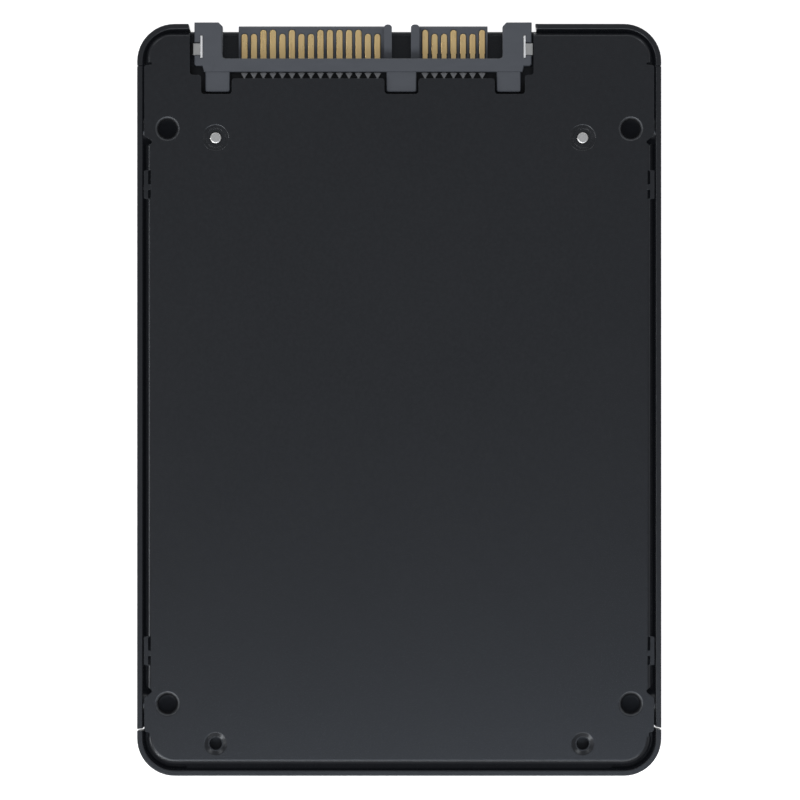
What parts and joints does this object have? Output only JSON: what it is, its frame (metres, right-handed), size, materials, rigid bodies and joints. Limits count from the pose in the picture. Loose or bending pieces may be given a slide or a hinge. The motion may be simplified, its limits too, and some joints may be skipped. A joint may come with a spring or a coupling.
{
  "type": "solid state drive",
  "caption": "Slim rectangular 2.5 inch solid state drive: drawn tray, sheet cover with screw holes, and an edge plug for data and power in a cut-out at one end.",
  "frame": {"origin": "centre of the footprint on the label face, which the drive lies on", "axes": "+X across the drive, +Y towards the plug end, +Z out of the cover with the mounting holes"},
  "size_m": [0.0698, 0.1004, 0.007],
  "materials": {
    "case_shell": "satin charcoal, fine texture",
    "case_cover": "satin charcoal, fine texture",
    "label": "matte, plain",
    "board": "solder mask over glass laminate",
    "plug_plastic": "moulded, blue grey",
    "contact_gold": "gold plated",
    "clip_metal": "tin plated",
    "screw_metal": "nickel plated",
    "package": "moulded package",
    "thermal_pad": "soft pad",
    "ferrite": "pressed ferrite",
    "capacitor_body": "moulded",
    "ceramic_body": "fired ceramic",
    "resistor_body": "glazed ceramic"
  },
  "bodies": {
    "root": {"top_shell": "case_shell", "bottom_cover": "case_cover", "blank_label": "label", "circuit_board": "board", "plug_housing": "plug_plastic", "power_contacts": "contact_gold", "signal_contacts": "contact_gold", "board_lock_left": "clip_metal", "board_lock_right": "clip_metal", "board_screws": "screw_metal", "controller_chip": "package", "controller_thermal_pad": "thermal_pad", "flash_chip_one": "package", "flash_chip_two": "package", "flash_chip_three": "package", "flash_chip_four": "package", "flash_thermal_pads": "thermal_pad", "memory_chip": "package", "power_chip": "package", "load_switch": "package", "crystal_oscillator": "clip_metal", "power_inductors": "ferrite", "tantalum_capacitors": "capacitor_body", "ceramic_capacitors": "ceramic_body", "chip_resistors": "resistor_body"}
  },
  "joints": []
}
